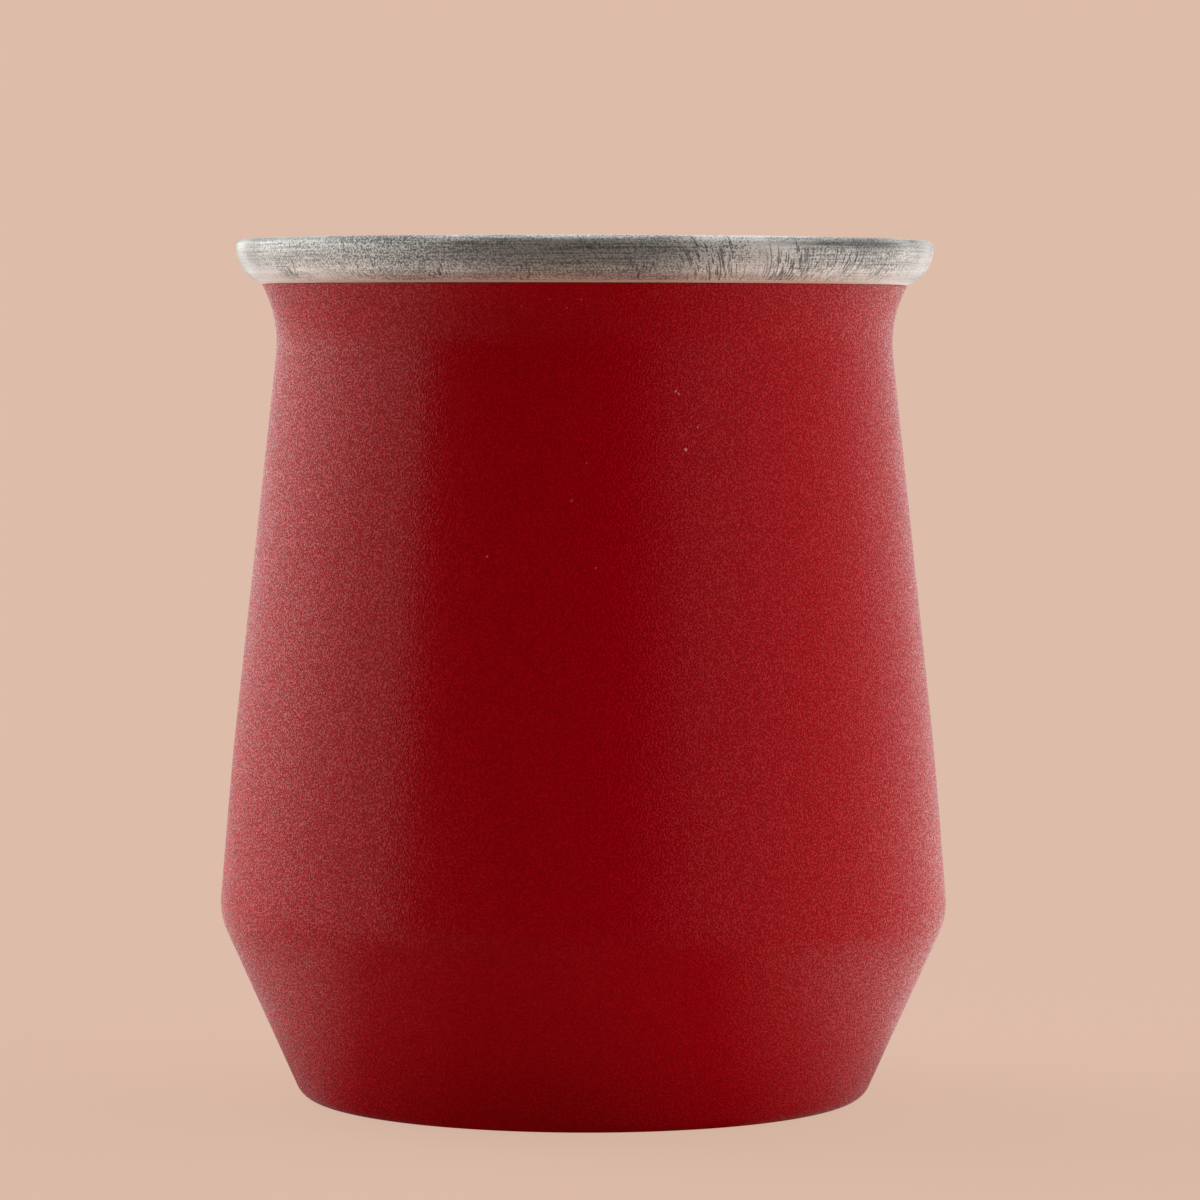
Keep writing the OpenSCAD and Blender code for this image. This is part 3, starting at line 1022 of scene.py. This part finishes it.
def show(g, path, shown, gloss, fill):
    """Gives the camera one shader, rays that leave gloss or glass another, and all other rays a third."""
    glossy = g.math("MAXIMUM", path.outputs["Is Glossy Ray"], path.outputs["Is Transmission Ray"])
    rest = g.add("ShaderNodeMixShader", {0: glossy, 1: fill.outputs[0], 2: gloss.outputs[0]})
    camera = path.outputs["Is Camera Ray"]
    surface = g.add("ShaderNodeMixShader", {0: camera, 1: rest.outputs[0], 2: shown.outputs[0]})
    g.tree.links.new(surface.outputs[0], g.output.inputs["Surface"])


def make_world():
    """Background colour for the camera, a studio ring for gloss and a soft fill for the rest."""
    world = bpy.data.worlds.new("studio")
    bpy.context.scene.world = world
    g = Graph(world, "ShaderNodeOutputWorld")
    world.cycles.sampling_method = "NONE"
    path = g.add("ShaderNodeLightPath")
    x, y, z = g.split(g.add("ShaderNodeTexCoord").outputs["Generated"])
    high = g.spread(z, RING_TOP, CEILING)
    level = g.mix(high, ring_level(g, x, y, STUDIO_RING), ring_level(g, x, y, CEILING_RING))
    gloss = g.add("ShaderNodeBackground", {"Color": STUDIO_TINT, "Strength": level})
    fill = g.add("ShaderNodeBackground", {"Color": WHITE, "Strength": ring_level(g, x, y, SKY_FILL)})
    shown = g.add("ShaderNodeBackground", {"Color": BACKGROUND, "Strength": 1.0})
    show(g, path, shown, gloss, fill)


def make_floor():
    """Pale floor in the background's colour, with a faint shadow near the cup. To gloss and fill rays it
    glows as painted light, and that glow is painted darker near the cup as a shadow.
    """
    g = new_material("pale_floor")
    g.owner.cycles.emission_sampling = "NONE"
    path = g.add("ShaderNodeLightPath")
    x, y, _ = g.split(g.position())
    across = g.radius(x, y)
    way_x, way_y = g.math("DIVIDE", x, across), g.math("DIVIDE", y, across)
    near = g.spread(across, BASE_R * MM, FLOOR_NEAR)
    shade = g.spread(across, BASE_R * MM, SHADOW_END, SHADOW_SHARE, 0.0)
    glow = g.add("ShaderNodeEmission", {"Color": BACKGROUND, "Strength": 1.0})
    matt = g.add("ShaderNodeBsdfDiffuse", {"Color": scaled(BACKGROUND, FLOOR_MATT)})
    shown = g.add("ShaderNodeMixShader", {0: shade, 1: glow.outputs[0], 2: matt.outputs[0]})
    far = g.spread(across, *FLOOR_FAR)
    level = g.mix(far, ring_level(g, way_x, way_y, FLOOR_RING), ring_level(g, way_x, way_y, FAR_RING))
    # Painted shadow: the floor's glow is darker near the cup
    gloss_near = g.math("MULTIPLY_ADD", near, 1.0 - FLOOR_NEAR_GLOSS, FLOOR_NEAR_GLOSS)
    gloss_strength = g.math("MULTIPLY", level, gloss_near)
    gloss = g.add("ShaderNodeEmission", {"Color": FLOOR_TINT, "Strength": gloss_strength})
    fill_near = g.math("MULTIPLY_ADD", near, 1.0 - FLOOR_NEAR_LEVEL, FLOOR_NEAR_LEVEL)
    fill_far = g.math("MULTIPLY_ADD", far, FLOOR_FAR_LEVEL - 1.0, 1.0)
    fill_level = g.math("MULTIPLY", fill_near, fill_far)
    fill_strength = g.math("MULTIPLY", ring_level(g, way_x, way_y, FLOOR_FILL), fill_level)
    fill = g.add("ShaderNodeEmission", {"Color": BACKGROUND, "Strength": fill_strength})
    show(g, path, shown, gloss, fill)
    half = FLOOR_SIZE / 2
    corners = [(-half, -half), (half, -half), (half, half), (-half, half)]
    mesh = bpy.data.meshes.new("floor")
    mesh.from_pydata([(x, y, -FLOOR_DROP) for x, y in corners], [], [(0, 1, 2, 3)])
    mesh.materials.append(g.owner)
    floor = bpy.data.objects.new("floor", mesh)
    bpy.context.scene.collection.objects.link(floor)


def main():
    bpy.context.scene.view_settings.view_transform = "Standard"
    make_camera()
    make_world()
    make_floor()
    for lamp in LAMPS:
        make_lamp(*lamp)
    rim_steel = rim_material()
    inside_steel = steel_material("inside_steel", INSIDE_STEEL, INSIDE_ROUGH)
    drawn_steel = steel_material("drawn_steel", STEEL, DRAWN_ROUGH)
    base_steel = steel_material("base_steel", STEEL, COVER_ROUGH)
    dress(make_coat(powder_coat_material()), "powder_coat")
    dress(make_shell(drawn_steel), "outer_shell")
    dress(make_liner(rim_steel, inside_steel), "inner_liner")
    dress(make_liner_floor(inside_steel), "liner_bottom")
    dress(make_foil(copper_material()), "copper_foil")
    dress(make_vacuum_floor(drawn_steel), "vacuum_bottom")
    dress(make_cover(base_steel), "base_cover")
    small = {"glass_seal": glass_material(), "getter_pill": getter_material(), "getter_strap": drawn_steel}
    for node, material in small.items():
        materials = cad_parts[node].data.materials
        materials.clear()
        materials.append(material)


main()
